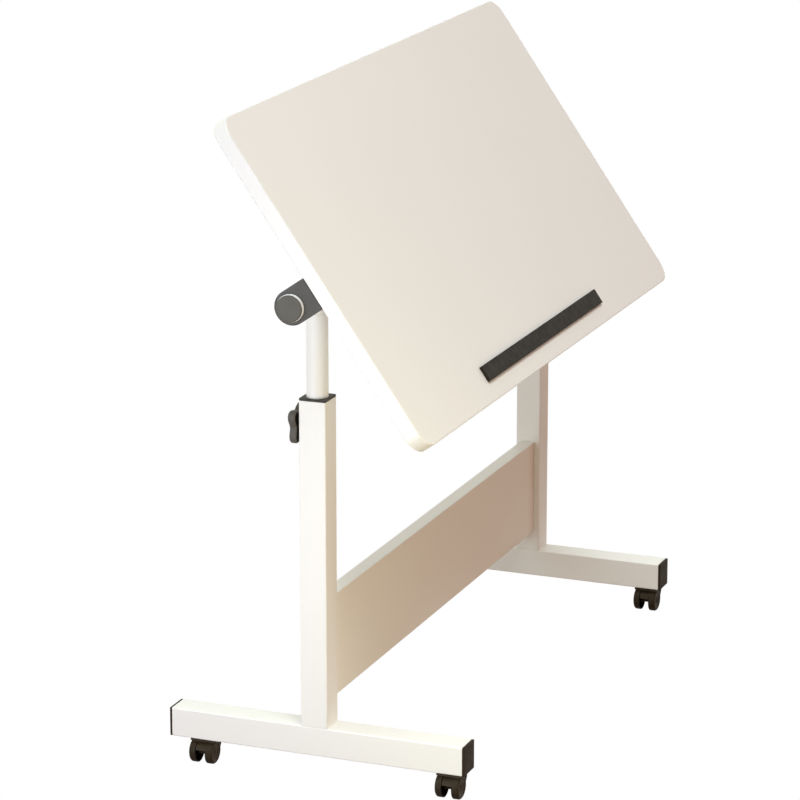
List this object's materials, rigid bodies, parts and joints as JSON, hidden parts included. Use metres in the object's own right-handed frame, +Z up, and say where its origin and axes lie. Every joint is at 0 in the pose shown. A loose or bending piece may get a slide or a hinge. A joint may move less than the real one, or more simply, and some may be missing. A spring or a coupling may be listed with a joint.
{
  "type": "drawing table",
  "caption": "Height-adjustable drawing table on casters: two columns with sliding posts, a cross shaft, and a round-cornered board with a ledge that tilts and clamps.",
  "frame": {"origin": "on the floor, midway between the two columns, which is also the middle of the feet", "axes": "+Z up, +X along the table width and the tilt axis, -Y towards the user in front of the board"},
  "size_m": [1.2242, 0.5086, 1.0797],
  "materials": {
    "white_steel": "white powder coat, fine texture, satin",
    "white_board": "white laminate on board, satin",
    "white_panel": "white laminate on board, satin",
    "dark_steel": "dark grey powder coat, matte",
    "dark_plastic": "dark moulded plastic, fine grain",
    "tread": "dark rubber tread, matte",
    "satin_silver": "satin, near white",
    "steel": "zinc plated"
  },
  "bodies": {
    "base": {"foot_left": "white_steel", "column_left": "white_steel", "foot_cap_front_left": "dark_plastic", "foot_cap_rear_left": "dark_plastic", "collar_left": "dark_plastic", "dowel_low_left": "steel", "dowel_high_left": "steel", "caster_socket_front_left": "steel", "caster_socket_rear_left": "steel", "foot_right": "white_steel", "column_right": "white_steel", "foot_cap_front_right": "dark_plastic", "foot_cap_rear_right": "dark_plastic", "collar_right": "dark_plastic", "dowel_low_right": "steel", "dowel_high_right": "steel", "caster_socket_front_right": "steel", "caster_socket_rear_right": "steel", "modesty_panel": "white_panel"},
    "lift": {"post_left": "white_steel", "post_bush_left": "dark_plastic", "post_head_left": "white_steel", "shaft_end_left": "steel", "post_right": "white_steel", "post_bush_right": "dark_plastic", "post_head_right": "white_steel", "shaft_end_right": "steel", "cross_shaft": "white_steel"},
    "board": {"tilt_bracket_left": "dark_steel", "bracket_screw_front_left": "steel", "bracket_screw_rear_left": "steel", "tilt_bracket_right": "dark_steel", "bracket_screw_front_right": "steel", "bracket_screw_rear_right": "steel", "board": "white_board", "ledge": "dark_steel"},
    "tilt_clamp_left": {"tilt_hub_left": "satin_silver", "tilt_disc_left": "dark_plastic"},
    "lift_clamp_left": {"star_knob_left": "dark_plastic", "star_stud_left": "steel"},
    "tilt_clamp_right": {"tilt_hub_right": "satin_silver", "tilt_disc_right": "dark_plastic"},
    "lift_clamp_right": {"star_knob_right": "dark_plastic", "star_stud_right": "steel"},
    "caster_front_left": {"caster_body_front_left": "dark_plastic"},
    "caster_front_left_wheel_a": {"caster_wheel_a_front_left": "tread"},
    "caster_front_left_wheel_b": {"caster_wheel_b_front_left": "tread"},
    "caster_front_right": {"caster_body_front_right": "dark_plastic"},
    "caster_front_right_wheel_a": {"caster_wheel_a_front_right": "tread"},
    "caster_front_right_wheel_b": {"caster_wheel_b_front_right": "tread"},
    "caster_rear_left": {"caster_body_rear_left": "dark_plastic"},
    "caster_rear_left_wheel_a": {"caster_wheel_a_rear_left": "tread"},
    "caster_rear_left_wheel_b": {"caster_wheel_b_rear_left": "tread"},
    "caster_rear_right": {"caster_body_rear_right": "dark_plastic"},
    "caster_rear_right_wheel_a": {"caster_wheel_a_rear_right": "tread"},
    "caster_rear_right_wheel_b": {"caster_wheel_b_rear_right": "tread"}
  },
  "joints": [
    {"name": "board_lift", "type": "slide", "parent": "base", "child": "lift", "axis": [0, 0, 1], "range_m": [-0.12, 0.18]},
    {"name": "board_tilt", "type": "hinge", "parent": "lift", "child": "board", "pos_m": [0, 0, 0.798], "axis": [1, 0, 0], "range_deg": [-55, 35]},
    {"name": "board_lift_clamp_left", "type": "hinge", "parent": "base", "child": "lift_clamp_left", "pos_m": [-0.5, 0.033, 0.5869], "axis": [0, 1, 0], "range_deg": [0, 720]},
    {"name": "board_tilt_clamp_left", "type": "hinge", "parent": "lift", "child": "tilt_clamp_left", "pos_m": [-0.6075, 0, 0.798], "axis": [-1, 0, 0], "range_deg": [0, 720]},
    {"name": "board_lift_clamp_right", "type": "hinge", "parent": "base", "child": "lift_clamp_right", "pos_m": [0.5, 0.033, 0.5869], "axis": [0, 1, 0], "range_deg": [0, 720]},
    {"name": "board_tilt_clamp_right", "type": "hinge", "parent": "lift", "child": "tilt_clamp_right", "pos_m": [0.6075, 0, 0.798], "axis": [1, 0, 0], "range_deg": [0, 720]},
    {"name": "caster_front_left_swivel", "type": "hinge", "parent": "base", "child": "caster_front_left", "pos_m": [-0.5, -0.226, 0.0442], "axis": [0, 0, 1], "continuous": true},
    {"name": "caster_front_left_wheel_a", "type": "hinge", "parent": "caster_front_left", "child": "caster_front_left_wheel_a", "pos_m": [-0.506, -0.2404, 0.02], "axis": [0, 1, 0], "continuous": true},
    {"name": "caster_front_left_wheel_b", "type": "hinge", "parent": "caster_front_left", "child": "caster_front_left_wheel_b", "pos_m": [-0.506, -0.2116, 0.02], "axis": [0, 1, 0], "continuous": true},
    {"name": "caster_front_right_swivel", "type": "hinge", "parent": "base", "child": "caster_front_right", "pos_m": [0.5, -0.226, 0.0442], "axis": [0, 0, 1], "continuous": true},
    {"name": "caster_front_right_wheel_a", "type": "hinge", "parent": "caster_front_right", "child": "caster_front_right_wheel_a", "pos_m": [0.494, -0.2404, 0.02], "axis": [0, 1, 0], "continuous": true},
    {"name": "caster_front_right_wheel_b", "type": "hinge", "parent": "caster_front_right", "child": "caster_front_right_wheel_b", "pos_m": [0.494, -0.2116, 0.02], "axis": [0, 1, 0], "continuous": true},
    {"name": "caster_rear_left_swivel", "type": "hinge", "parent": "base", "child": "caster_rear_left", "pos_m": [-0.5, 0.199, 0.0442], "axis": [0, 0, 1], "continuous": true},
    {"name": "caster_rear_left_wheel_a", "type": "hinge", "parent": "caster_rear_left", "child": "caster_rear_left_wheel_a", "pos_m": [-0.506, 0.1846, 0.02], "axis": [0, 1, 0], "continuous": true},
    {"name": "caster_rear_left_wheel_b", "type": "hinge", "parent": "caster_rear_left", "child": "caster_rear_left_wheel_b", "pos_m": [-0.506, 0.2134, 0.02], "axis": [0, 1, 0], "continuous": true},
    {"name": "caster_rear_right_swivel", "type": "hinge", "parent": "base", "child": "caster_rear_right", "pos_m": [0.5, 0.199, 0.0442], "axis": [0, 0, 1], "continuous": true},
    {"name": "caster_rear_right_wheel_a", "type": "hinge", "parent": "caster_rear_right", "child": "caster_rear_right_wheel_a", "pos_m": [0.494, 0.1846, 0.02], "axis": [0, 1, 0], "continuous": true},
    {"name": "caster_rear_right_wheel_b", "type": "hinge", "parent": "caster_rear_right", "child": "caster_rear_right_wheel_b", "pos_m": [0.494, 0.2134, 0.02], "axis": [0, 1, 0], "continuous": true}
  ]
}
